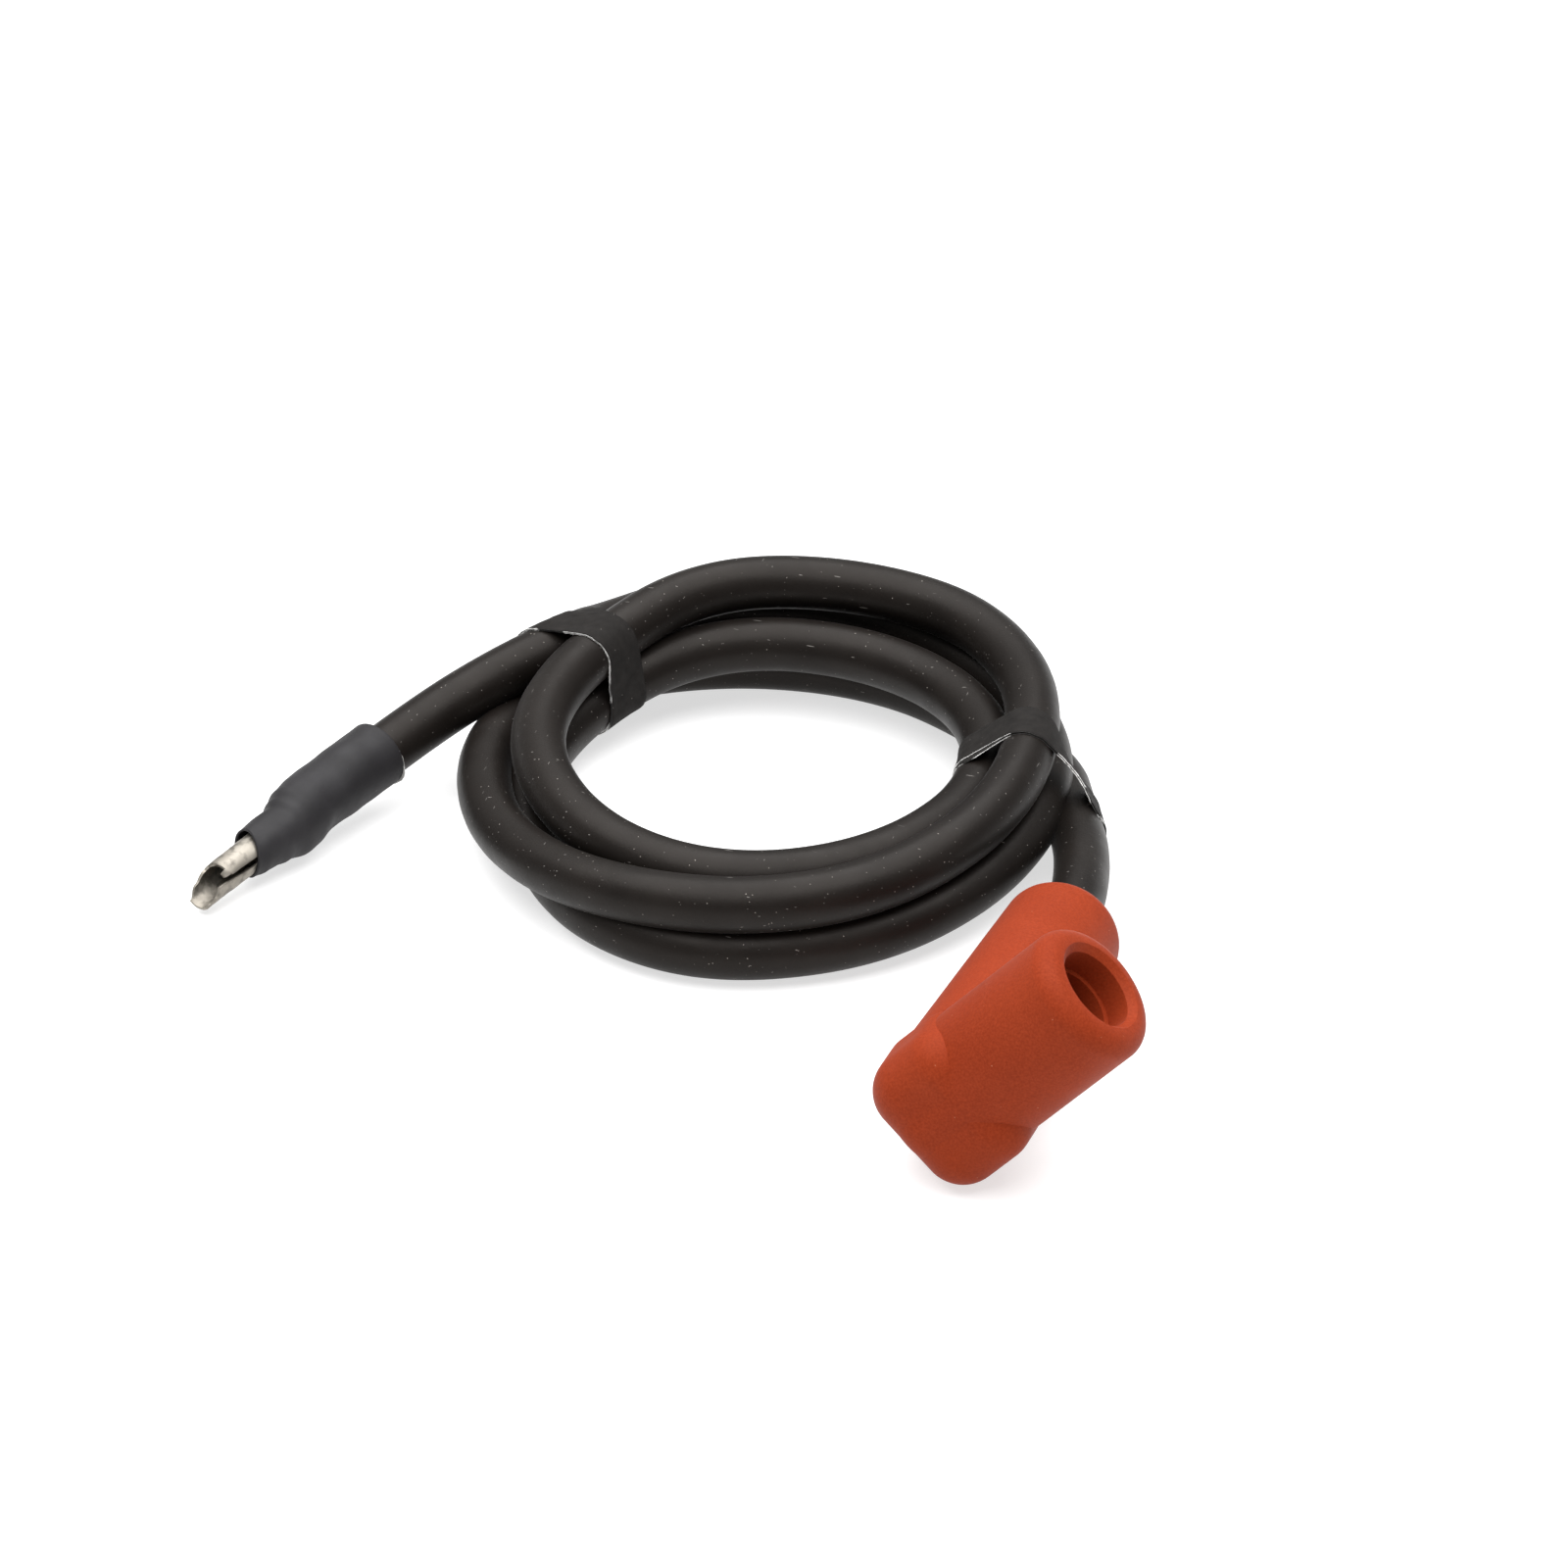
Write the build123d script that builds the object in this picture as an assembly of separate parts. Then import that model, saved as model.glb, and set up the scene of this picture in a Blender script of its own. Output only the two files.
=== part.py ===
"""High-voltage ignition lead: coiled silicone cable, right-angle boot, crimped tail terminal.

Millimetres, +Z up.  The lead lies on the plane z = 0 with the boot over the origin.  The boot's
cable leg runs along +Y and its socket leg rises towards +X.  The cable leaves the cable leg,
winds into a taped coil behind the boot and ends at a heat-shrunk terminal beyond it.
"""
from build123d import *
import math
import os

# ---- driving dimensions -------------------------------------------------------------------
CABLE_R = 3.5               # silicone jacket
INSULATION_R = 2.4          # silicone insulation under the braid
BRAID_R = 2.8               # glass-fibre braid between insulation and jacket
CORE_R = 0.95               # tinned stranded conductor
SHEET = 0.45                # thickness of the stamped terminals

# boot: where the two leg axes meet, and how the boot lies
ELBOW = (-6.48, -17.61, 9.35)
SOCKET_LIFT = 46.3          # degrees that the socket leg rises from the horizontal
LEG_DROOP = 2.6             # degrees that the cable leg slopes down to the floor
SOCKET_LEG_R = 8.6
SOCKET_LEG_LENGTH = 24.3    # elbow to mouth
SOCKET_LEG_BACK = 6.2       # closed end behind the elbow
CABLE_LEG_R = 8.6
CABLE_LEG_END_R = 7.4
CABLE_LEG_LENGTH = 43.7
CABLE_LEG_BACK = 3.0        # the leg starts inside the block
LEG_ROUND = 4.0             # closed ends of both legs
RIM_ROUND = 2.5             # open ends of both legs

# boot: the squarer block round the elbow, measured from the elbow
BLOCK_BACK = 6.6            # away from the mouth
BLOCK_FRONT = 8.1           # towards the mouth
BLOCK_TOP = 9.0
BLOCK_BOTTOM = 9.2
BLOCK_END = 8.4             # away from the cable leg
BLOCK_REACH = 4.0           # along the cable leg
BLOCK_ROUND = 5.0
BLOCK_END_ROUND = 4.8

# boot: the stepped hole and what it holds
MOUTH_R = 5.0               # entry of the socket
MOUTH_DEPTH = 4.0
MOUTH_ROUND = 0.8
SOCKET_R = 4.3              # bore that grips the electrode
SOCKET_DEPTH = 15.2
CUP_R = 3.5                 # snap cup below the socket
CUP_SHEET = 0.3
CUP_CLEARANCE = 1.15        # room round the cup for its spring
CUP_BOTTOM = -3.2
CUP_TOP = 6.4
CUP_SLOT_WIDTH = 0.9
CUP_SLOT_LENGTH = 4.2
SPRING_WIRE_R = 0.3
SPRING_GAP = 2.2
NECK_WIDTH = 3.0            # strip that joins the cup to the crimp barrel
CRIMP_START = 10.0          # crimp barrel along the cable leg
CRIMP_LENGTH = 8.0
CRIMP_GAP = 0.5             # open seam of the crimp barrel
CRIMP_PLAY = 0.03
BORE_PLAY = 0.12            # so that the cable may bend slightly inside the boot
JACKET_END = 11.0           # where the jacket stops inside the boot
BRAID_SHOWN = 1.5           # each layer shows this much beyond the one over it

# tail terminal: tip centre, and the axis that runs up from it through the sleeve
TIP = (-112.92, 7.0, 3.05)
SLEEVE_TOP = (-101.35, 42.58, 7.7)
TERMINAL_R = 2.1
TROUGH_R = 1.9              # open scoop in front of the rolled barrel
TROUGH_LENGTH = 5.4
TROUGH_SLANT = 24.0         # degrees between the scoop's cut and the axis
SCOOP_CUT = 4.6             # how far along the axis the cut goes
PIN_LENGTH = 8.6            # end of the full-size barrel that a receptacle slides over
SHANK_R = 1.8               # narrower stretch behind it, inside the sleeve
SEAM_GAP = 0.35
BARREL_END = 14.0
FERRULE_END = 20.0
FERRULE_SHEET = 0.3
CORE_CRIMPED = 2.0          # conductor held in the barrel
CABLE_CUT = 22.5            # where the jacket stops inside the sleeve
TAIL_BRAID_SHOWN = 1.2
SLEEVE_START = 8.8
SLEEVE_END = 35.4
SLEEVE_NECK_R = 3.3
SLEEVE_R = 4.4
SLEEVE_WALL = 0.7
SLEEVE_PLAY = 0.2           # the cable starts to bend just inside the sleeve's end
BEAD = 0.5                  # hot-melt bead squeezed out of the sleeve's end

# coil: an oval ring, turned about Z
COIL_CENTRE = (-55.55, 52.78)
COIL_TURN = 18.8
COIL_SHIFT = (1.1, -0.3)    # centre of the ring's outline in the coil's own axes
COIL_OUTER = (39.8, 44.3)
COIL_INNER = (24.6, 28.4)
COIL_BASE = 0.4             # the coil stands on the tape under it
COIL_ROUND = 2.0
COIL_TOP_BACK = 19.6
COIL_TOP_FRONT = 14.2
TAPE_WIDTH = 6.0
TAPE_THICKNESS = 0.35
TAPE_ANGLES = {"tape_band_left": 127.0, "tape_band_right": 1.0}

# the stretches of cable that are not coiled, as points of the centre line
LEAD_ROUTE = [(-6.48, -6.62, 8.851), (-6.48, 11.36, 8.034), (-6.61, 30.84, 7.15), (-10.25, 46.88, 5.7),
              (-15.75, 59.18, 4.5), (-20.85, 70.68, 3.9)]
TAIL_ROUTE = [(-106.015, 28.234, 5.825), (-101.35, 42.58, 7.7), (-93.65, 55.88, 11.4), (-84.95, 68.78, 13.4)]

WHOLE = 200.0               # larger than the coil, for cutting boxes
COIL_FRAME = Location((*COIL_CENTRE, 0), (0, 0, COIL_TURN)) * Pos(*COIL_SHIFT, 0)
parts = {}


def clean(shape):
    """The one solid of a boolean result."""
    return shape.solids()[0]


def ring(outer, inner, start, end):
    """A plain tube, or a rod where inner is 0, along local Z."""
    height = end - start
    tube = Cylinder(outer, height, align=(Align.CENTER, Align.CENTER, Align.MIN))
    if inner > 0:
        tube -= Cylinder(inner, height, align=(Align.CENTER, Align.CENTER, Align.MIN))
    return Pos(0, 0, start) * tube


def turned(points):
    """A solid turned about local Z from a closed outline of (radius, height) points."""
    outline = make_face(Plane.XZ * Polyline(*points, close=True))
    return revolve(outline, Axis.Z)


def rounded_leg(radius, end_radius, back, length):
    """A leg of the boot along local Z: a closed rounded back, a taper and a rounded rim."""
    with BuildPart() as leg:
        with BuildSketch(Plane.XZ):
            with BuildLine():
                Polyline((0, -back), (radius, -back), (radius, 0), (end_radius, length), (0, length),
                         (0, -back))
            make_face()
        revolve(axis=Axis.Z)
        rims = leg.edges().filter_by(GeomType.CIRCLE).sort_by(Axis.Z)
        fillet(rims[0], min(LEG_ROUND, back))
        fillet(rims[-1], RIM_ROUND)
    return leg.part


# ---- boot ---------------------------------------------------------------------------------
# In the boot's own axes the socket leg is local Z of SOCKET, and the cable leg local Z of LEG.
boot_frame = Location(ELBOW, (-LEG_DROOP, 0, 0))
SOCKET = boot_frame * Location((0, 0, 0), (0, 90 - SOCKET_LIFT, 0))
LEG = boot_frame * Location((0, 0, 0), (-90, 0, 0))
SOCKET_FLOOR = SOCKET_LEG_LENGTH - SOCKET_DEPTH


def elbow_block():
    """Rounded block where the two legs meet, its section drawn across the cable leg."""
    lift = math.radians(SOCKET_LIFT)
    across = Plane(origin=(0, -BLOCK_END, 0), x_dir=(math.cos(lift), 0, math.sin(lift)), z_dir=(0, 1, 0))
    middle = Pos((BLOCK_FRONT - BLOCK_BACK) / 2, (BLOCK_BOTTOM - BLOCK_TOP) / 2)
    section = middle * RectangleRounded(BLOCK_BACK + BLOCK_FRONT, BLOCK_TOP + BLOCK_BOTTOM, BLOCK_ROUND)
    block = extrude(across * section, BLOCK_END + BLOCK_REACH)
    block = fillet(block.faces().sort_by(Axis.Y)[0].edges(), BLOCK_END_ROUND)
    block = fillet(block.faces().sort_by(Axis.Y)[-1].edges(), BLOCK_REACH - 1)
    return boot_frame * block


def make_boot():
    """Moulded silicone elbow with a stepped hole in each leg."""
    boot = SOCKET * rounded_leg(SOCKET_LEG_R, SOCKET_LEG_R, SOCKET_LEG_BACK, SOCKET_LEG_LENGTH)
    boot += LEG * rounded_leg(CABLE_LEG_R, CABLE_LEG_END_R, CABLE_LEG_BACK, CABLE_LEG_LENGTH)
    boot += elbow_block()
    step = SOCKET_LEG_LENGTH - MOUTH_DEPTH
    outside = SOCKET_LEG_LENGTH + 1
    mouth = turned([(0, step), (MOUTH_R, step), (MOUTH_R, SOCKET_LEG_LENGTH - MOUTH_ROUND),
                    (MOUTH_R + MOUTH_ROUND, SOCKET_LEG_LENGTH), (MOUTH_R + MOUTH_ROUND, outside), (0, outside)])
    boot -= SOCKET * mouth
    boot -= SOCKET * ring(SOCKET_R, 0, SOCKET_FLOOR, SOCKET_LEG_LENGTH)
    boot -= SOCKET * ring(CUP_R + CUP_CLEARANCE, 0, CUP_BOTTOM, SOCKET_FLOOR)
    boot -= LEG * ring(CABLE_R + SHEET + 0.05, 0, 0, CRIMP_START + CRIMP_LENGTH + 0.3)
    boot -= LEG * ring(CABLE_R + BORE_PLAY, 0, 0, CABLE_LEG_LENGTH + 1)
    return clean(boot)


def make_snap_terminal():
    """Stamped cup for the electrode's stud, its neck and the crimp barrel round the jacket."""
    hollow = ring(CUP_R - CUP_SHEET, 0, CUP_BOTTOM + CUP_SHEET, CUP_TOP + CUP_SHEET)
    cup = ring(CUP_R, 0, CUP_BOTTOM, CUP_TOP) - hollow
    slot = Pos(0, 0, CUP_TOP - CUP_SLOT_LENGTH / 2) * Box(2 * CUP_R + 2, CUP_SLOT_WIDTH, CUP_SLOT_LENGTH)
    for turn in (0, 90):
        cup -= Rot(0, 0, turn) * slot
    barrel = ring(CABLE_R + SHEET, CABLE_R + CRIMP_PLAY, CRIMP_START, CRIMP_START + CRIMP_LENGTH)
    barrel -= Pos(0, -CABLE_R, CRIMP_START + CRIMP_LENGTH / 2) * Box(CRIMP_GAP, 2, CRIMP_LENGTH + 1)
    neck = ring(CABLE_R + SHEET, CABLE_R, CUP_R - 1.4, CRIMP_START)
    neck &= Pos(0, CABLE_R, CRIMP_START / 2) * Box(NECK_WIDTH, NECK_WIDTH, CRIMP_START)
    return clean(SOCKET * cup + (LEG * (barrel + neck) - SOCKET * hollow))


def make_snap_spring():
    """Open wire ring that squeezes the slotted mouth of the snap cup."""
    loop = Torus(CUP_R + SPRING_WIRE_R, SPRING_WIRE_R) - Pos(CUP_R, 0, 0) * Box(3, SPRING_GAP, 2)
    return clean(SOCKET * Pos(0, 0, CUP_TOP - 1.2) * loop)


# ---- tail terminal and its sleeve -----------------------------------------------------------
tail_axis = Vector(*SLEEVE_TOP) - Vector(*TIP)
TAIL = Plane(origin=TIP, x_dir=Vector(0, 0, 1).cross(tail_axis), z_dir=tail_axis).location


def make_tail_terminal():
    """Rolled sheet: an open scoop at the tip, a seamed barrel and a narrower shank."""
    tube = ring(TROUGH_R, TROUGH_R - SHEET, 0, TROUGH_LENGTH)
    tube += ring(TERMINAL_R, TERMINAL_R - SHEET, TROUGH_LENGTH, PIN_LENGTH)
    tube += ring(TERMINAL_R, SHANK_R - SHEET, PIN_LENGTH - SHEET, PIN_LENGTH)
    tube += ring(SHANK_R, SHANK_R - SHEET, PIN_LENGTH, BARREL_END)
    cut = Rot(-TROUGH_SLANT, 0, 0) * Box(3 * TERMINAL_R, 2.2 * TERMINAL_R, 2 * SCOOP_CUT)
    seam = Pos(-TERMINAL_R, 0.4, BARREL_END / 2) * Box(2, SEAM_GAP, BARREL_END + 1)
    return clean(TAIL * (tube - Pos(0, TERMINAL_R, 0) * cut - seam))


def make_sleeve():
    """Heat-shrink tube drawn down over the cable, the crimp and the terminal's barrel."""
    outer = [(SLEEVE_NECK_R, SLEEVE_START), (SLEEVE_NECK_R, 14.6), (SLEEVE_R - 0.1, 17.6), (SLEEVE_R, 21.0),
             (SLEEVE_R - 0.2, 25.0), (SLEEVE_R, 30.0), (SLEEVE_R, SLEEVE_END)]
    bore = CABLE_R + SLEEVE_PLAY
    inner = [(bore, SLEEVE_END), (bore, 19.0),
             (SLEEVE_NECK_R - SLEEVE_WALL, 15.0), (SLEEVE_NECK_R - SLEEVE_WALL, SLEEVE_START)]
    return TAIL * turned(outer + inner)


# ---- cable -----------------------------------------------------------------------------------
def cable_tube(name, points):
    """A cable of straight runs joined by tangent arcs, as large as the two runs allow."""
    places = [Vector(*p) for p in points]
    radii = []
    for before, here, after in zip(places, places[1:], places[2:]):
        turn = (here - before).get_angle(after - here)
        shorter = min((here - before).length, (after - here).length)
        radii.append(0.45 * shorter / math.tan(math.radians(turn / 2)))
    print(name, "bend radii", [round(r, 1) for r in radii])
    line = FilletPolyline(*places, radius=radii)
    start = Plane(origin=places[0], z_dir=places[1] - places[0])
    tube = sweep(start * Circle(CABLE_R), path=line)
    print(name, "volume", round(tube.volume, 1), "section x length", round(math.pi * CABLE_R**2 * line.length, 1))
    return tube


def oval_ring(grow):
    """Oval ring with a sloping top, its walls moved outwards by grow."""
    outer = Ellipse(COIL_OUTER[0] + grow, COIL_OUTER[1] + grow)
    inner = Ellipse(COIL_INNER[0] - grow, COIL_INNER[1] - grow)
    slope = math.degrees(math.atan2(COIL_TOP_BACK - COIL_TOP_FRONT, 2 * COIL_OUTER[1]))
    middle = (COIL_TOP_BACK + COIL_TOP_FRONT) / 2 + grow
    above = Box(WHOLE, WHOLE, WHOLE, align=(Align.CENTER, Align.CENTER, Align.MIN))
    below = Box(WHOLE, WHOLE, 2 * (COIL_BASE - grow))
    solid = extrude(outer - inner, COIL_TOP_BACK + grow) - Pos(0, 0, middle) * Rot(slope, 0, 0) * above - below
    return COIL_FRAME * fillet(solid.edges().group_by(Axis.Z)[0], COIL_ROUND + grow)


def make_tape(angle, coil):
    """A loop of tape round the coil's section at the given angle."""
    slab = Box(WHOLE / 2, TAPE_WIDTH, WHOLE, align=(Align.MIN, Align.CENTER, Align.CENTER))
    return (oval_ring(TAPE_THICKNESS) & COIL_FRAME * Rot(0, 0, angle) * slab) - coil


# ---- assembly ----------------------------------------------------------------------------------
parts["boot_elbow"] = make_boot()
parts["snap_terminal"] = make_snap_terminal()
parts["snap_spring"] = make_snap_spring()
parts["boot_end_braid"] = LEG * ring(BRAID_R, INSULATION_R, JACKET_END - BRAID_SHOWN, JACKET_END)
parts["boot_end_insulation"] = LEG * ring(INSULATION_R, CORE_R, JACKET_END - 2 * BRAID_SHOWN, JACKET_END)
parts["boot_end_core"] = LEG * ring(CORE_R, 0, CUP_R + 0.1, JACKET_END)

coil_solid = oval_ring(0)
parts["cable_coil"] = coil_solid
parts["cable_lead"] = cable_tube("cable_lead", LEAD_ROUTE) - coil_solid
parts["cable_tail"] = cable_tube("cable_tail", TAIL_ROUTE) - coil_solid
for band, band_angle in TAPE_ANGLES.items():
    parts[band] = make_tape(band_angle, coil_solid) - parts["cable_lead"] - parts["cable_tail"]

parts["tail_terminal"] = make_tail_terminal()
parts["tail_crimp_ferrule"] = TAIL * ring(TERMINAL_R + FERRULE_SHEET, CORE_R, BARREL_END, FERRULE_END)
parts["tail_end_core"] = TAIL * ring(CORE_R, 0, BARREL_END - CORE_CRIMPED, CABLE_CUT)
parts["tail_end_insulation"] = TAIL * ring(INSULATION_R, CORE_R, FERRULE_END, CABLE_CUT)
parts["tail_end_braid"] = TAIL * ring(BRAID_R, INSULATION_R, CABLE_CUT - TAIL_BRAID_SHOWN, CABLE_CUT)
parts["heat_shrink_sleeve"] = make_sleeve()
parts["sleeve_adhesive"] = TAIL * ring(SLEEVE_R - 0.3, CABLE_R + SLEEVE_PLAY + 0.05, SLEEVE_END, SLEEVE_END + BEAD)

os.makedirs("parts", exist_ok=True)
for node, solid in parts.items():
    export_step(solid, f"parts/{node}.step")
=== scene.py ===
import math

import bpy
from mathutils import Matrix, Vector, noise


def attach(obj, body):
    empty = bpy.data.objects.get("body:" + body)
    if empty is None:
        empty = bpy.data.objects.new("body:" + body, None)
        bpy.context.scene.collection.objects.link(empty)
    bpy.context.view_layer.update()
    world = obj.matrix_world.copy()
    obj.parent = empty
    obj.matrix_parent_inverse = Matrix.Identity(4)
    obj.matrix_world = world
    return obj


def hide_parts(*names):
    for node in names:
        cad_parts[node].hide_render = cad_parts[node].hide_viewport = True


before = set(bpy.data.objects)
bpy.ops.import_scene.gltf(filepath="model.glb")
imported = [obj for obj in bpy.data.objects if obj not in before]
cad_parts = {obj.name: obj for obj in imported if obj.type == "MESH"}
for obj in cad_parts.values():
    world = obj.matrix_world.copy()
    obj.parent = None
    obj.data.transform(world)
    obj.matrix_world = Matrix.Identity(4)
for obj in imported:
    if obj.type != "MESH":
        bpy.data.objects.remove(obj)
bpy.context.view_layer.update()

# Looks of a coiled high-voltage ignition lead. Metres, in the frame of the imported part: the boot
# stands over the origin with its cable leg along +Y, and the coil lies behind it.

MM = 0.001
BODY = "root"

# ---- the cable's route, as in the part ---------------------------------------------------------
CABLE_R = 3.5 * MM
LEAD_ROUTE = [(-6.48, -6.62, 8.851), (-6.48, 11.36, 8.034), (-6.61, 30.84, 7.15), (-10.25, 46.88, 5.7),
              (-15.75, 59.18, 4.5), (-20.85, 70.68, 3.9)]
TAIL_ROUTE = [(-106.015, 28.234, 5.825), (-101.35, 42.58, 7.7), (-93.65, 55.88, 11.4),
              (-84.95, 68.78, 13.4)]
COIL_CENTRE = (-55.55, 52.78)
COIL_TURN = 18.8
# one entry a quarter turn, going clockwise: how far the strand lies from the coil's centre at the
# left, back, right and front, how high, and how much the quarter after it bulges out
TURNS = [(28.0, 12.6, 0.02), (41.0, 10.2, 0.0), (37.5, 7.6, 0.0), (41.0, 3.9, 0.05),
         (29.0, 4.4, -0.04), (30.0, 9.6, 0.0), (30.0, 9.6, -0.02), (33.5, 9.9, 0.02),
         (28.0, 12.5, -0.08), (35.5, 15.8, 0.08), (35.5, 14.3, 0.0), (41.0, 10.5, 0.0),
         (35.0, 6.3, 0.02), (35.5, 3.9, -0.03), (36.5, 3.9, 0.0)]
POINTS_A_QUARTER = 4
FIRST_POINT = 2             # the tail joins half way through the first quarter
LAST_POINT = 14 * POINTS_A_QUARTER - 2

# ---- the tail terminal's axis, as in the part --------------------------------------------------
TIP = Vector((-112.92, 7.0, 3.05)) * MM
SLEEVE_TOP = Vector((-101.35, 42.58, 7.7)) * MM


def coil_point(step):
    """A point of the wound turns: each quarter is a quarter of an ellipse between two entries."""
    quarter, part = divmod(step, POINTS_A_QUARTER)
    share = part / POINTS_A_QUARTER
    here, after = TURNS[quarter], TURNS[quarter + 1]
    angle = math.radians(180 - 90 * (quarter + share))
    sideways, depth = (here[0], after[0]) if quarter % 2 == 0 else (after[0], here[0])
    ease = (1 - math.cos(math.pi * share)) / 2
    bulge = 1 + here[2] * math.sin(2 * angle) ** 2
    x, y = sideways * math.cos(angle) * bulge, depth * math.sin(angle) * bulge
    turn = math.radians(COIL_TURN)
    return Vector((COIL_CENTRE[0] + x * math.cos(turn) - y * math.sin(turn),
                   COIL_CENTRE[1] + x * math.sin(turn) + y * math.cos(turn),
                   here[1] + (after[1] - here[1]) * ease)) * MM


def cable_route():
    """From the jacket's end in the boot, round the coil, to the jacket's end in the sleeve."""
    coil = [coil_point(step) for step in range(FIRST_POINT, LAST_POINT + 1)]
    lead = [Vector(p) * MM for p in LEAD_ROUTE]
    tail = [Vector(p) * MM for p in TAIL_ROUTE]
    return lead + coil[::-1] + tail[::-1]


def link(name, data):
    piece = bpy.data.objects.new(name, data)
    bpy.context.scene.collection.objects.link(piece)
    return piece


def nurbs(name, points, radius):
    """A smooth tube whose control points are the given ones; radius 0 gives the bare line."""
    curve = bpy.data.curves.new(name, "CURVE")
    curve.dimensions = "3D"
    spline = curve.splines.new("NURBS")
    spline.points.add(len(points) - 1)
    for control, point in zip(spline.points, points):
        control.co = (*point, 1)
        control.radius = radius
    spline.order_u = 3
    spline.use_endpoint_u = True
    spline.resolution_u = 12
    if radius:
        curve.bevel_depth = 1
        curve.bevel_resolution = 12
        curve.use_fill_caps = True
    return link(name, curve)


def centre_line(points):
    """Points along the smooth line that the cable follows."""
    line = nurbs("line", points, 0)
    mesh = bpy.data.meshes.new_from_object(line)
    places = [v.co.copy() for v in mesh.vertices]
    curve = line.data
    bpy.data.objects.remove(line)
    bpy.data.curves.remove(curve)
    bpy.data.meshes.remove(mesh)
    return places


# ---- node helpers ------------------------------------------------------------------------------
class Look:
    """A material under construction: object coordinates in metres feed its textures."""

    def __init__(self, name, rough, **sockets):
        self.material = bpy.data.materials.new(name)
        self.material.use_nodes = True
        self.tree = self.material.node_tree
        self.shader = self.tree.nodes["Principled BSDF"]
        self.shader.inputs["Roughness"].default_value = rough
        for socket, value in sockets.items():
            self.shader.inputs[socket.replace("_", " ")].default_value = value
        self.place = self.node("ShaderNodeTexCoord").outputs["Object"]

    def node(self, kind, **values):
        made = self.tree.nodes.new(kind)
        for key, value in values.items():
            if key in made.inputs:
                made.inputs[key].default_value = value
            else:
                setattr(made, key, value)
        return made

    def join(self, output, socket):
        self.tree.links.new(output, socket)

    def stretched(self, stretch, turn=0.0):
        mapping = self.node("ShaderNodeMapping", Scale=stretch, Rotation=(turn, turn / 2, turn))
        self.join(self.place, mapping.inputs["Vector"])
        return mapping.outputs["Vector"]

    def noise(self, scale, detail=3.0, place=None):
        made = self.node("ShaderNodeTexNoise", Scale=scale, Detail=detail)
        self.join(place or self.place, made.inputs["Vector"])
        return made.outputs["Fac"]

    def specks(self, scale, size, place=None):
        """Small spots, one in a cell; white where a spot is."""
        cells = self.node("ShaderNodeTexVoronoi", Scale=scale)
        self.join(place or self.place, cells.inputs["Vector"])
        spot = self.node("ShaderNodeMath", operation="LESS_THAN")
        spot.inputs[1].default_value = size
        self.join(cells.outputs["Distance"], spot.inputs[0])
        return spot.outputs[0]

    def ramp(self, source, low, high, dark, light):
        """Blend from dark to light as the source goes from low to high."""
        made = self.node("ShaderNodeValToRGB")
        first, last = made.color_ramp.elements
        first.position, last.position = low, high
        first.color, last.color = (*dark, 1), (*light, 1)
        self.join(source, made.inputs["Fac"])
        return made.outputs["Color"]

    def blend(self, source, under, over):
        """Show over where the source is white."""
        made = self.node("ShaderNodeMix", data_type="RGBA")
        self.join(source, made.inputs[0])
        self.join(under, made.inputs[6])
        if isinstance(over, tuple):
            made.inputs[7].default_value = (*over, 1)
        else:
            self.join(over, made.inputs[7])
        return made.outputs[2]

    def product(self, one, other):
        made = self.node("ShaderNodeMath", operation="MULTIPLY")
        self.join(one, made.inputs[0])
        self.join(other, made.inputs[1])
        return made.outputs[0]

    def colour(self, output):
        self.join(output, self.shader.inputs["Base Color"])

    def roughness(self, source, low, high):
        made = self.node("ShaderNodeMapRange")
        made.inputs["To Min"].default_value = low
        made.inputs["To Max"].default_value = high
        self.join(source, made.inputs["Value"])
        self.join(made.outputs["Result"], self.shader.inputs["Roughness"])

    def bump(self, *layers):
        """Stack bumps, each a (height source, distance in metres, strength)."""
        normal = None
        for height, distance, strength in layers:
            made = self.node("ShaderNodeBump", Distance=distance, Strength=strength)
            self.join(height, made.inputs["Height"])
            if normal:
                self.join(normal, made.inputs["Normal"])
            normal = made.outputs["Normal"]
        self.join(normal, self.shader.inputs["Normal"])


# ---- materials ---------------------------------------------------------------------------------
def jacket_look():
    """Black silicone: satin, faintly mottled, with dust, lint and handling scratches."""
    look = Look("jacket_silicone", 0.45, Specular_IOR_Level=0.17, Specular_Tint=(1.0, 0.93, 0.88, 1),
                Sheen_Weight=0.05, Sheen_Roughness=0.25)
    tone = look.ramp(look.noise(90, 4), 0.35, 0.7, (0.0055, 0.0042, 0.0035), (0.0092, 0.0073, 0.0062))
    patches = look.ramp(look.noise(55), 0.4, 0.55, (0.1, 0.1, 0.1), (1, 1, 1))
    dust = look.product(look.specks(820, 0.062), patches)
    lint = look.product(look.specks(1, 0.07, look.stretched((110, 1200, 1200), 0.6)), patches)
    fibres = look.product(look.specks(1, 0.06, look.stretched((1200, 100, 1200), 2.1)), look.noise(60))
    tone = look.blend(dust, tone, (0.22, 0.20, 0.18))
    tone = look.blend(lint, tone, (0.16, 0.15, 0.14))
    tone = look.blend(fibres, tone, (0.18, 0.17, 0.16))
    look.colour(tone)
    look.roughness(look.noise(240, 5), 0.34, 0.56)
    look.bump((look.noise(900, 3), 0.00005, 0.35), (look.noise(3200, 2), 0.00003, 0.4))
    return look.material


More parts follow.
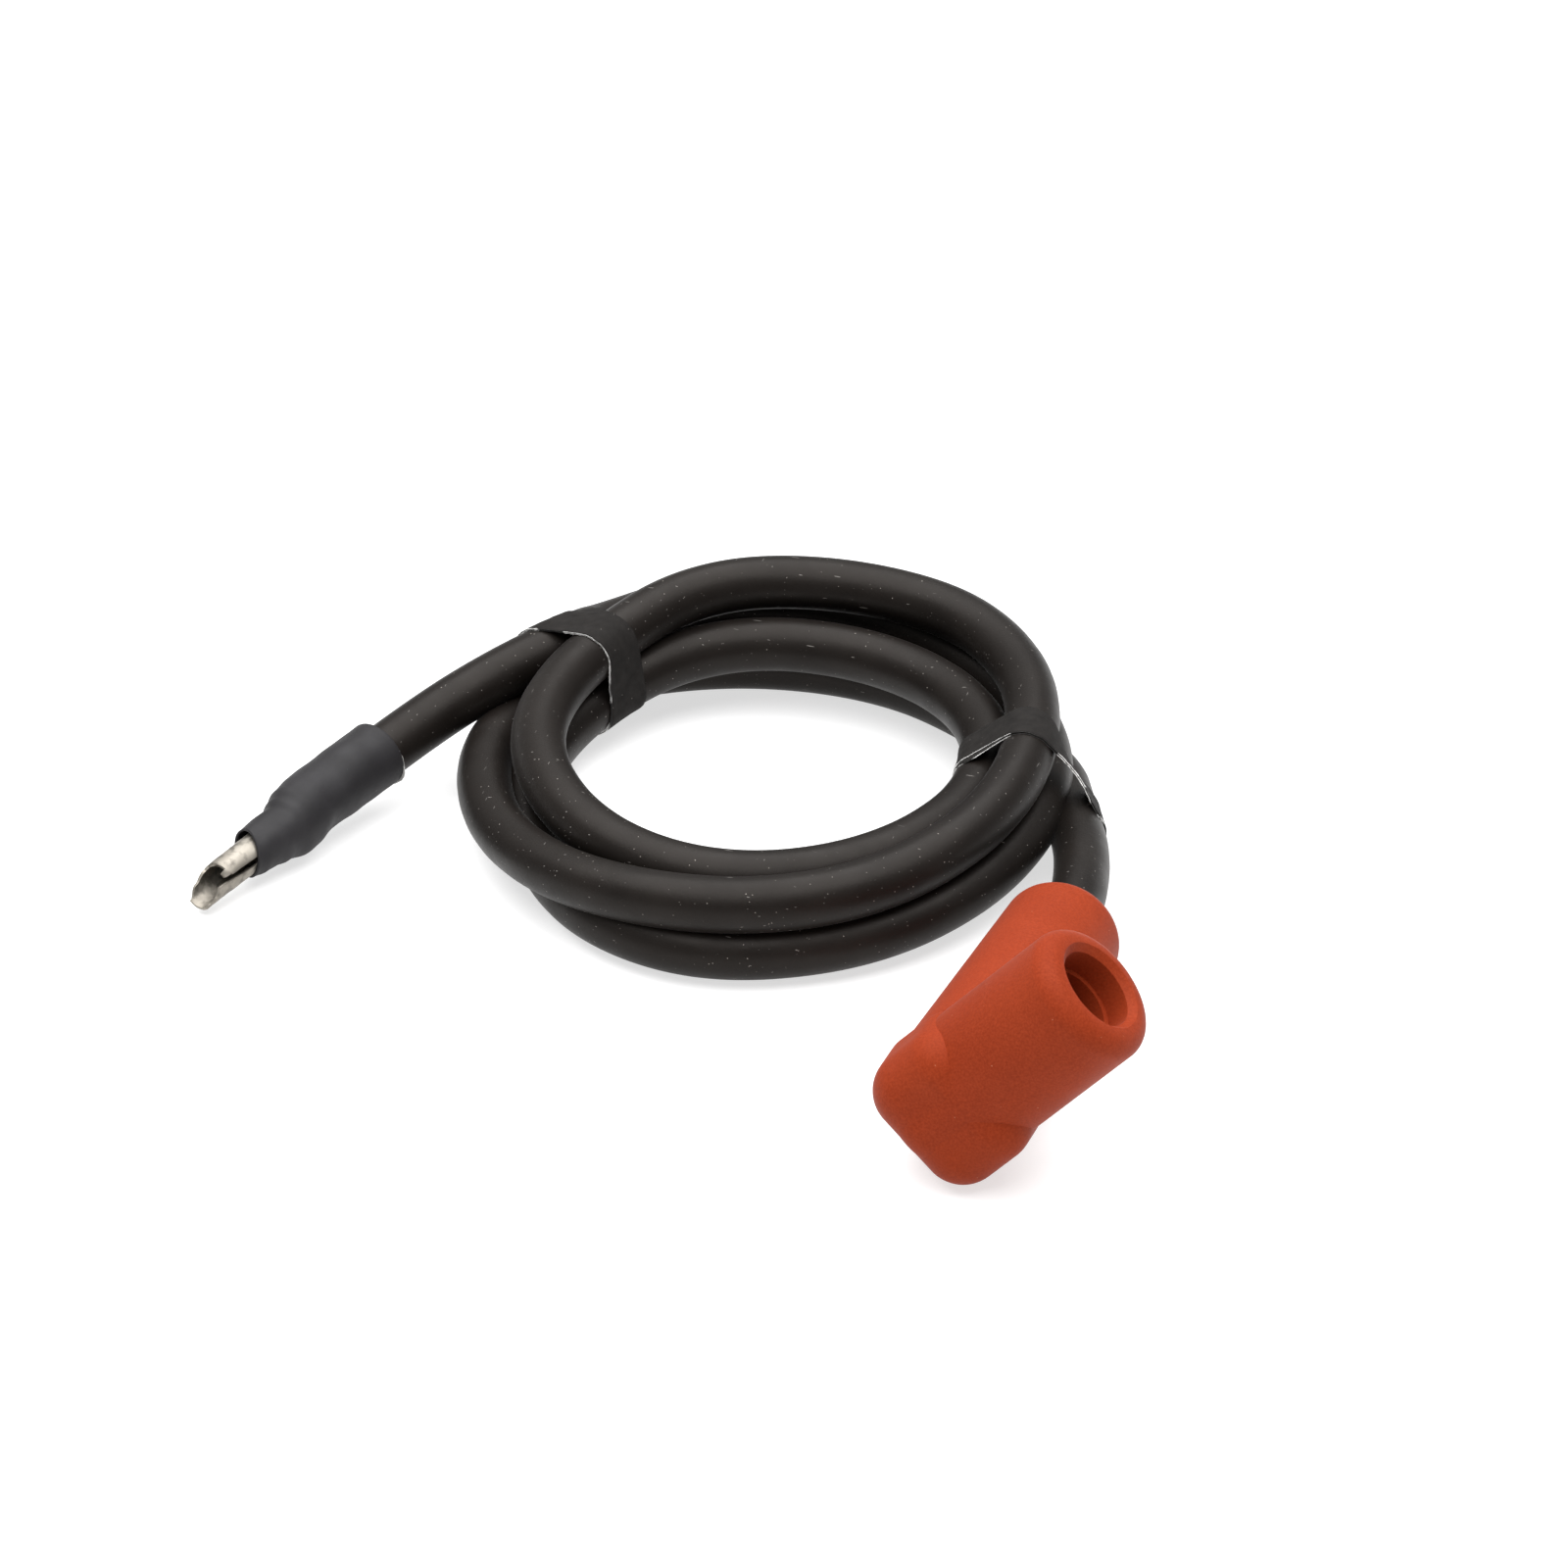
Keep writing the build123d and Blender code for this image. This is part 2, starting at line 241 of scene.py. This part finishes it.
def boot_look():
    """Red-orange moulded silicone: matte, finely grained, a little dusty."""
    look = Look("boot_silicone", 0.6, Specular_IOR_Level=0.1, Specular_Tint=(1.0, 0.75, 0.6, 1),
                Sheen_Weight=0.05, Sheen_Roughness=0.3)
    tone = look.ramp(look.noise(110, 5), 0.32, 0.72, (0.205, 0.0235, 0.0058), (0.25, 0.0325, 0.0092))
    grain = look.ramp(look.noise(3600, 2), 0.3, 0.75, (0.165, 0.018, 0.0042), (0.30, 0.041, 0.0125))
    half = look.node("ShaderNodeMix", data_type="RGBA")
    half.inputs[0].default_value = 0.45
    look.join(tone, half.inputs[6])
    look.join(grain, half.inputs[7])
    dust = look.product(look.specks(420, 0.035), look.noise(70))
    look.colour(look.blend(dust, half.outputs[2], (0.42, 0.16, 0.09)))
    look.roughness(look.noise(300, 4), 0.5, 0.72)
    look.bump((look.noise(700, 4), 0.00006, 0.3), (look.noise(4200, 2), 0.00004, 0.45))
    return look.material


def tape_look():
    """Matte black tape backing with faint lengthwise creases."""
    look = Look("tape_backing", 0.8, Specular_IOR_Level=0.16)
    tone = look.ramp(look.noise(700, 6), 0.3, 0.75, (0.0078, 0.0068, 0.0062), (0.0150, 0.0132, 0.0122))
    dust = look.product(look.specks(700, 0.06), look.noise(120))
    look.colour(look.blend(dust, tone, (0.15, 0.14, 0.13)))
    look.roughness(look.noise(900, 3), 0.68, 0.92)
    look.bump((look.noise(420, 4), 0.0001, 0.35), (look.noise(3600, 3), 0.00004, 0.5))
    return look.material


def tape_edge_look():
    """Pale cut edge where the adhesive shows."""
    look = Look("tape_cut_edge", 0.45)
    pale = look.ramp(look.noise(1500, 3), 0.3, 0.5, (0.2, 0.2, 0.19), (0.93, 0.92, 0.9))
    bare = look.ramp(look.noise(190, 2), 0.53, 0.56, (0, 0, 0), (1, 1, 1))
    look.colour(look.blend(bare, pale, (0.02, 0.019, 0.018)))
    look.roughness(look.noise(2500), 0.35, 0.6)
    look.bump((look.noise(5000), 0.00003, 0.5))
    return look.material


def sleeve_look():
    """Heat-shrunk polyolefin: matte blue-grey, slightly wavy."""
    look = Look("shrunk_tube", 0.6, Specular_IOR_Level=0.28)
    tone = look.ramp(look.noise(150, 4), 0.3, 0.7, (0.0105, 0.0097, 0.0108), (0.0180, 0.0168, 0.0188))
    dust = look.product(look.specks(480, 0.05), look.noise(90))
    look.colour(look.blend(dust, tone, (0.2, 0.2, 0.21)))
    look.roughness(look.noise(350, 4), 0.48, 0.74)
    look.bump((look.noise(260, 3), 0.0002, 0.25), (look.noise(2600, 3), 0.00004, 0.45))
    return look.material


def tinned_look(name, dark, light, rough, streak):
    """Tinned sheet: drawn streaks along the axis, duller patches and fine stains."""
    look = Look(name, rough, Metallic=1.0)
    tone = look.ramp(look.noise(1, 5, look.stretched(streak)), 0.3, 0.7, dark, light)
    stain = look.ramp(look.noise(760, 6), 0.48, 0.64, (0, 0, 0), (0.75, 0.75, 0.75))
    look.colour(look.blend(stain, tone, tuple(0.55 * c for c in dark)))
    look.roughness(look.noise(500, 4), rough - 0.08, rough + 0.16)
    drawn = look.noise(1, 4, look.stretched(streak))
    look.bump((drawn, 0.00006, 0.35), (look.noise(1800, 3), 0.00005, 0.3))
    return look.material


def braid_look():
    """Woven glass fibre: two crossing sets of yarns."""
    look = Look("glass_braid", 0.75)
    waves = []
    for turn in (0.8, -0.8):
        wave = look.node("ShaderNodeTexWave", Scale=420, Distortion=1.5)
        look.join(look.stretched((1, 1, 1), turn), wave.inputs["Vector"])
        waves.append(wave.outputs["Fac"])
    weave = look.product(*waves)
    look.colour(look.ramp(weave, 0.1, 0.7, (0.36, 0.33, 0.27), (0.78, 0.75, 0.68)))
    look.roughness(look.noise(900), 0.6, 0.85)
    look.bump((weave, 0.0002, 0.7))
    return look.material


def insulation_look():
    """Translucent grey silicone under the braid."""
    look = Look("inner_insulation", 0.45, Subsurface_Weight=0.1)
    look.colour(look.ramp(look.noise(400, 4), 0.3, 0.7, (0.42, 0.40, 0.37), (0.58, 0.56, 0.52)))
    look.roughness(look.noise(700), 0.35, 0.6)
    look.bump((look.noise(1800), 0.00005, 0.4))
    return look.material


def adhesive_look():
    """Clear hot-melt bead."""
    look = Look("hot_melt", 0.2, Transmission_Weight=0.55, IOR=1.48)
    look.colour(look.ramp(look.noise(900), 0.3, 0.7, (0.62, 0.60, 0.57), (0.86, 0.85, 0.82)))
    look.roughness(look.noise(1500), 0.12, 0.35)
    look.bump((look.noise(1300, 4), 0.0002, 0.5))
    return look.material


def floor_look():
    """Plain pale floor: an opal sheet, softly lit from below."""
    look = Look("studio_floor", 0.9, Specular_IOR_Level=0.1, Emission_Color=(1, 1, 1, 1),
                Emission_Strength=0.65)
    look.colour(look.ramp(look.noise(3), 0.3, 0.7, (0.44, 0.44, 0.44), (0.46, 0.46, 0.46)))
    return look.material


def wear(piece, *materials):
    piece.data.materials.clear()
    for material in materials:
        piece.data.materials.append(material)


# ---- mesh helpers ------------------------------------------------------------------------------
def grid_mesh(name, rows, closed=False):
    """A sheet from rows of points; closed joins each row's end to its start."""
    mesh = bpy.data.meshes.new(name)
    count = len(rows[0])
    faces = []
    for i in range(len(rows) - 1):
        for j in range(count if closed else count - 1):
            k = (j + 1) % count
            faces.append((i * count + j, i * count + k, (i + 1) * count + k, (i + 1) * count + j))
    mesh.from_pydata([p for row in rows for p in row], [], faces)
    mesh.polygons.foreach_set("use_smooth", [True] * len(faces))
    mesh.update()
    return mesh


def merge(name, sheets):
    """One mesh object from several sheets; each keeps its place."""
    verts, faces = [], []
    for mesh in sheets:
        start = len(verts)
        verts += [v.co.copy() for v in mesh.vertices]
        faces += [[start + i for i in p.vertices] for p in mesh.polygons]
        bpy.data.meshes.remove(mesh)
    mesh = bpy.data.meshes.new(name)
    mesh.from_pydata(verts, [], faces)
    mesh.polygons.foreach_set("use_smooth", [True] * len(faces))
    mesh.update()
    return link(name, mesh)


def thicken(piece, thickness, offset, rim_material=0):
    """Give a sheet its thickness; the offset says to which side."""
    solid = piece.modifiers.new("sheet", "SOLIDIFY")
    solid.thickness = thickness
    solid.offset = offset
    solid.use_even_offset = True
    solid.material_offset_rim = rim_material


def table_value(table, x):
    """A smooth value between the (x, value) entries of a table."""
    if x <= table[0][0]:
        return table[0][1]
    for (x0, v0), (x1, v1) in zip(table, table[1:]):
        if x <= x1:
            share = (x - x0) / (x1 - x0)
            return v0 + (v1 - v0) * share * share * (3 - 2 * share)
    return table[-1][1]


# ---- cable -------------------------------------------------------------------------------------
route = cable_route()
cable = nurbs("cable", route, CABLE_R)
strands = centre_line(route)
wear(cable, jacket_look())

# ---- tape bands --------------------------------------------------------------------------------
TAPE_SHEET = 0.13 * MM
TAPE_GAP = 0.08 * MM
BAND_WIDTH = 6.0 * MM
BAND_ROWS = 15
BAND_COLUMNS = 180
BAND_REACH = 22 * MM        # strands further from the band's spot are those across the coil
FLOOR_GAP = 0.1 * MM        # left under the tape where it passes below the strands
ROUND_STEPS = 48            # points round a strand for the tape to lie on
turn_matrix = Matrix.Rotation(math.radians(COIL_TURN), 3, "Z")
coil_middle = Vector((*COIL_CENTRE, 0)) * MM


def convex_hull(points):
    """Corners of the hull of 2D points, anticlockwise."""
    points = sorted(points)

    def half(sequence):
        chain = []
        for p in sequence:
            while len(chain) > 1:
                a, b = chain[-2], chain[-1]
                if (b[0] - a[0]) * (p[1] - a[1]) - (b[1] - a[1]) * (p[0] - a[0]) > 0:
                    break
                chain.pop()
            chain.append(p)
        return chain[:-1]

    return half(points) + half(points[::-1])


def crossings(origin, outward, along):
    """Where the cable passes through a band's plane: (outward, height, widening) of each strand."""
    found = []
    for a, b in zip(strands, strands[1:]):
        da, db = (a - origin).dot(along), (b - origin).dot(along)
        if da * db > 0 or da == db:
            continue
        here = a + (b - a) * (da / (da - db))
        out = (here - origin).dot(outward)
        if abs(out) < BAND_REACH:
            found.append((out, here.z, 1 / max(0.5, abs((b - a).normalized().dot(along)))))
    return found


def band_loop(origin, outward, along, grow):
    """The tape's line round the strands in one plane, from its top, as evenly spaced points."""
    spots = []
    for out, height, widening in crossings(origin, outward, along):
        for k in range(ROUND_STEPS):
            angle = math.tau * k / ROUND_STEPS
            spots.append((out + (CABLE_R * widening + grow) * math.cos(angle),
                          max(height + (CABLE_R + grow) * math.sin(angle), TAPE_SHEET + FLOOR_GAP)))
    hull = convex_hull(spots)
    top = max(range(len(hull)), key=lambda i: hull[i][1])
    hull = hull[top:] + hull[:top + 1]
    lengths = [math.dist(a, b) for a, b in zip(hull, hull[1:])]
    total, places, i, passed = sum(lengths), [], 0, 0.0
    for k in range(BAND_COLUMNS):
        want = total * k / BAND_COLUMNS
        while passed + lengths[i] < want:
            passed += lengths[i]
            i += 1
        share = (want - passed) / lengths[i]
        a, b = hull[i], hull[i + 1]
        places.append(origin + outward * (a[0] + (b[0] - a[0]) * share)
                      + Vector((0, 0, a[1] + (b[1] - a[1]) * share)))
    return places


def band_edge(column, side, seed):
    """How far the tape's edge strays along its width: slow waves, with small nicks."""
    t = column / BAND_COLUMNS * math.tau
    slow = noise.noise(Vector((2 * math.cos(t), 2 * math.sin(t), seed + side)))
    fine = noise.noise(Vector((14 * math.cos(t), 14 * math.sin(t), seed - side)))
    return (0.35 * slow + 0.13 * fine) * MM


def hump(turn, middle, spread):
    """A smooth rise to 1 at the middle."""
    return math.exp(-((turn - middle) / spread) ** 2)


def tape_band(name, spot, angle, seed, peek, lap, pinch=(0.5, 0.1, 0.0)):
    """A turn of tape pulled round the strands, and a second layer that laps over part of it.

    The layer under the lap peeks out at one place, and the tape may be pinched narrow at another.
    Peek and pinch are (share of the turn, spread, amount): peek's amount is in mm, pinch's is the
    share of the width that is lost. Lap is (gap, shift along the cable, first column, last column).
    """
    outward = turn_matrix @ Vector((math.cos(math.radians(angle)), math.sin(math.radians(angle)), 0))
    middle = coil_middle + turn_matrix @ Vector((*spot, 0)) * MM
    along = Vector((-outward.y, outward.x, 0))
    sheets = []
    for grow, shift, first, last in ((TAPE_GAP, 0.0, 0, BAND_COLUMNS), lap):
        rows = []
        for row in range(BAND_ROWS):
            across = row / (BAND_ROWS - 1) - 0.5
            loop = band_loop(middle + along * (across * BAND_WIDTH + shift), outward, along, grow)
            line = []
            for column in range(first, last):
                place = loop[column % BAND_COLUMNS]
                turn = column / BAND_COLUMNS % 1
                stray = band_edge(column, 1 if across > 0 else -1, seed) * abs(2 * across) ** 3
                stray -= across * BAND_WIDTH * pinch[2] * hump(turn, *pinch[:2])
                if not shift and across < 0:
                    stray += 2 * abs(across) * peek[2] * MM * hump(turn, *peek[:2])
                ripple = 0.05 * MM * noise.noise(place * 900 + Vector((seed, 0, 0)))
                line.append(place + along * stray + Vector((0, 0, ripple)))
            rows.append(line)
        sheets.append(grid_mesh(name, rows, closed=last - first == BAND_COLUMNS))
    band = merge(name, sheets)
    thicken(band, TAPE_SHEET, 1, rim_material=1)
    wear(band, tape_material, tape_edge_material)
    return band


tape_material = tape_look()
tape_edge_material = tape_edge_look()
left_band = tape_band("tape_left", spot=(-22.5, 21.2), angle=150.0, seed=3.1,
                      peek=(0.94, 0.035, -1.5), lap=(0.27 * MM, 0.06 * MM, -62, 70))
right_band = tape_band("tape_right", spot=(33.4, -6.3), angle=-18.0, seed=8.4,
                       peek=(0.15, 0.07, -1.3), lap=(0.3 * MM, 0.06 * MM, -64, 60),
                       pinch=(0.84, 0.07, 0.55))

# ---- heat-shrunk tail --------------------------------------------------------------------------
axis = (SLEEVE_TOP - TIP).normalized()
left = Vector((0, 0, 1)).cross(axis).normalized()
up = axis.cross(left)
SLEEVE_ROWS = 96
SLEEVE_SIDES = 72
SLEEVE_ANGLES = [math.tau * k / SLEEVE_SIDES for k in range(SLEEVE_SIDES)]
FACING = math.radians(45)   # the side that the neck leans towards
# radius along the sleeve, in mm from the tip, on the side that the neck leans towards and opposite
NEAR_SIDE = [(8.8, 2.85), (12.0, 2.9), (16.0, 2.95), (17.4, 3.6), (19.0, 4.25), (21.5, 4.5),
             (28.0, 4.5), (35.4, 4.36)]
FAR_SIDE = [(8.8, 2.85), (10.8, 3.35), (12.5, 3.45), (14.4, 3.85), (17.2, 4.62), (19.4, 4.45),
            (22.6, 3.95), (27.5, 4.15), (35.4, 4.36)]
BORE = [(8.8, 2.45), (15.0, 2.6), (20.0, 3.72), (35.4, 3.72)]
SLEEVE_START, SLEEVE_END = 8.8, 35.4
DENT = 0.16
LEAN, NECK_LEAN, NECK_LENGTH = 0.14, 0.12, 8
MOUTH_SLANT, SLANT_LENGTH = 1.3, 7
LIP = 0.16                  # how far the rounded ends swell


def on_axis(height, sideways, upward):
    """A place by mm from the tip along the terminal's axis, to its left and above it."""
    return TIP + (axis * height + left * sideways + up * upward) * MM


def sleeve_wall(height, angle, inside):
    """A point of the sleeve; the neck leans to one side and its mouth is cut on a slant."""
    if inside:
        radius = table_value(BORE, height)
    else:
        share = (1 + math.cos(angle - FACING)) / 2
        radius = table_value(NEAR_SIDE, height) * share + table_value(FAR_SIDE, height) * (1 - share)
        dent = noise.noise(Vector((math.cos(angle) * 1.3, math.sin(angle) * 1.3, height * 0.28)))
        radius += DENT * dent * min(1.0, (SLEEVE_END + 1 - height) / 5)
    lean = LEAN + NECK_LEAN * max(0.0, 1 - (height - SLEEVE_START) / NECK_LENGTH)
    near_mouth = max(0.0, 1 - (height - SLEEVE_START) / SLANT_LENGTH)
    slant = MOUTH_SLANT * (0.8 + math.cos(angle - FACING)) * near_mouth
    return on_axis(height + slant, radius * math.cos(angle) + lean, radius * math.sin(angle) + lean)


def sleeve_lip(height, inside, outward):
    """Rows over a rounded end, from the wall named first to the other; outward is 1 or -1."""
    rows = []
    for share in (0.15, 0.5, 0.85):
        swell = axis * outward * LIP * math.sin(math.pi * share) * MM
        rows.append([sleeve_wall(height, a, inside).lerp(sleeve_wall(height, a, not inside), share) + swell
                     for a in SLEEVE_ANGLES])
    return rows


def make_sleeve():
    step = (SLEEVE_END - SLEEVE_START) / SLEEVE_ROWS
    heights = [SLEEVE_START + step * k for k in range(SLEEVE_ROWS + 1)]
    rows = [[sleeve_wall(height, a, False) for a in SLEEVE_ANGLES] for height in heights]
    rows += sleeve_lip(SLEEVE_END, False, 1)
    rows += [[sleeve_wall(height, a, True) for a in SLEEVE_ANGLES] for height in heights[::-1]]
    rows += sleeve_lip(SLEEVE_START, True, -1)
    rows.append(rows[0])
    piece = link("shrunk_sleeve", grid_mesh("shrunk_sleeve", rows, closed=True))
    wear(piece, sleeve_look())
    return piece


BEAD_R = 3.78
BEAD_HEIGHT, BEAD_WIDTH = 0.36, 0.3


def make_adhesive():
    """A thin uneven bead squeezed out between the sleeve and the cable."""
    rows = []
    for k in range(9):
        turn = math.pi * k / 8
        line = []
        for angle in SLEEVE_ANGLES:
            lump = 1 + 0.8 * noise.noise(Vector((3 * math.cos(angle), 3 * math.sin(angle), 5.0)))
            lump += 1.1 * max(0.0, -math.cos(angle - FACING)) ** 3
            radius = BEAD_R + BEAD_WIDTH * lump * math.cos(turn)
            height = SLEEVE_END - 0.1 + BEAD_HEIGHT * lump * math.sin(turn)
            line.append(on_axis(height, radius * math.cos(angle), radius * math.sin(angle)))
        rows.append(line)
    rows.append(rows[0])
    piece = link("adhesive_bead", grid_mesh("adhesive_bead", rows, closed=True))
    wear(piece, adhesive_look())
    return piece


# the rolled sheet: degrees round the axis where it starts and ends, by mm from the tip
SHEET_START = [(0.0, 236), (0.5, 226), (1.2, 195), (2.0, 163), (8.8, 180), (14.0, 182)]
SHEET_END = [(0.0, 316), (1.9, 352), (3.5, 385), (4.0, 405), (4.2, 486), (4.5, 512), (14.0, 519)]
SHEET_R = [(0.0, 2.22), (0.5, 2.14), (4.0, 2.14), (5.0, 2.2), (14.0, 2.2)]
SHEET_THICK = 0.36 * MM
SHEET_COLUMNS = 48
TONGUE_FROM, TONGUE_TO = 484, 514   # degrees round the axis


def make_terminal():
    """A scoop that closes into a barrel with an open lengthwise seam, and a small bent tongue."""
    rows = []
    heights = [0.15 * k for k in range(25)]
    heights += [3.8 + 0.06 * k for k in range(12)]      # closer together where the barrel closes
    heights += [4.6 + 0.45 * k for k in range(21)]
    for height in heights:
        start, end = table_value(SHEET_START, height), table_value(SHEET_END, height)
        line = []
        for k in range(SHEET_COLUMNS + 1):
            degrees = start + (end - start) * k / SHEET_COLUMNS
            lift = 0.16 * max(0.0, (degrees - 455) / 60)
            radius = table_value(SHEET_R, height) + lift + 0.03 * noise.noise(Vector((degrees / 25, height, 2)))
            angle = math.radians(degrees)
            line.append(on_axis(height, radius * math.cos(angle), radius * math.sin(angle)))
        rows.append(line)
    tongue = []
    for k in range(9):
        curl = math.radians(200 * k / 8)
        height = 4.35 - 0.42 * math.sin(curl)
        radius = 2.08 - 0.38 * (1 - math.cos(curl))
        angles = [math.radians(d) for d in range(TONGUE_FROM, TONGUE_TO, 6)]
        tongue.append([on_axis(height, radius * math.cos(a), radius * math.sin(a)) for a in angles])
    piece = merge("rolled_terminal", [grid_mesh("barrel", rows), grid_mesh("tongue", tongue)])
    thicken(piece, SHEET_THICK, -1)
    edges = piece.modifiers.new("edges", "BEVEL")
    edges.width = 0.07 * MM
    edges.segments = 2
    edges.limit_method = "ANGLE"
    wear(piece, tinned_look("tinned_sheet", (0.23, 0.21, 0.18), (0.44, 0.41, 0.36), 0.5, (260, 60, 260)))
    return piece


sleeve = make_sleeve()
bead = make_adhesive()
terminal = make_terminal()

# ---- which piece stands for what ---------------------------------------------------------------
STANDS_FOR = [(cable, "cable_jacket", ("cable_lead", "cable_coil", "cable_tail")),
              (left_band, "tape", ("tape_band_left",)), (right_band, "tape", ("tape_band_right",)),
              (sleeve, "heat_shrink", ("heat_shrink_sleeve",)), (bead, "adhesive", ("sleeve_adhesive",)),
              (terminal, "tinned_metal", ("tail_terminal",))]
for piece, finish, nodes in STANDS_FOR:
    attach(piece, BODY)
    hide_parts(*nodes)

# ---- materials of the CAD pieces ---------------------------------------------------------------
drawn_metal = tinned_look("tinned_inner", (0.42, 0.40, 0.36), (0.72, 0.70, 0.66), 0.36, (300, 300, 80))
spring_metal = tinned_look("spring_steel", (0.30, 0.30, 0.30), (0.62, 0.62, 0.62), 0.3, (500, 500, 500))
strand_metal = tinned_look("tinned_strands", (0.38, 0.34, 0.30), (0.75, 0.72, 0.68), 0.34, (1800, 160, 1800))
braid_material = braid_look()
insulation_material = insulation_look()
CAD_LOOKS = {"boot_elbow": boot_look(), "snap_terminal": drawn_metal, "snap_spring": spring_metal,
             "boot_end_braid": braid_material, "boot_end_insulation": insulation_material,
             "boot_end_core": strand_metal, "tail_crimp_ferrule": drawn_metal, "tail_end_core": strand_metal,
             "tail_end_insulation": insulation_material, "tail_end_braid": braid_material}
for node, material in CAD_LOOKS.items():
    wear(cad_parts[node], material)

# ---- floor, light and camera -------------------------------------------------------------------
AIM = Vector((-0.05502, 0.06242, 0.0))
AZIMUTH, ELEVATION = math.radians(18.8), math.radians(29.0)
DISTANCE, LENS = 0.9, 160.9
FLOOR_SIZE = 6.0
WORLD_STRENGTH = 0.38
SOFTBOX_PLACE, SOFTBOX_SIZE, SOFTBOX_POWER = (-0.12, 0.12, 1.2), 2.0, 56

corners = [[Vector((x, y, 0)) * FLOOR_SIZE / 2 for x in (-1, 1)] for y in (-1, 1)]
floor = link("floor", grid_mesh("floor", corners))
wear(floor, floor_look())

world = bpy.data.worlds.new("studio")
bpy.context.scene.world = world
world.use_nodes = True
sky = world.node_tree.nodes["Background"]
sky.inputs["Color"].default_value = (1, 1, 1, 1)
sky.inputs["Strength"].default_value = WORLD_STRENGTH

softbox_data = bpy.data.lights.new("softbox", "AREA")
softbox_data.energy = SOFTBOX_POWER
softbox_data.size = SOFTBOX_SIZE
softbox = link("softbox", softbox_data)
softbox.location = SOFTBOX_PLACE
softbox.rotation_euler = (AIM - Vector(SOFTBOX_PLACE)).to_track_quat("-Z", "Y").to_euler()

look_along = Vector((-math.sin(AZIMUTH) * math.cos(ELEVATION),
                     math.cos(AZIMUTH) * math.cos(ELEVATION), -math.sin(ELEVATION)))
camera_data = bpy.data.cameras.new("camera")
camera_data.lens = LENS
camera = link("camera", camera_data)
camera.location = AIM - look_along * DISTANCE
camera.rotation_euler = look_along.to_track_quat("-Z", "Y").to_euler()
bpy.context.scene.camera = camera
bpy.context.scene.view_settings.view_transform = "Standard"

bpy.context.view_layer.update()
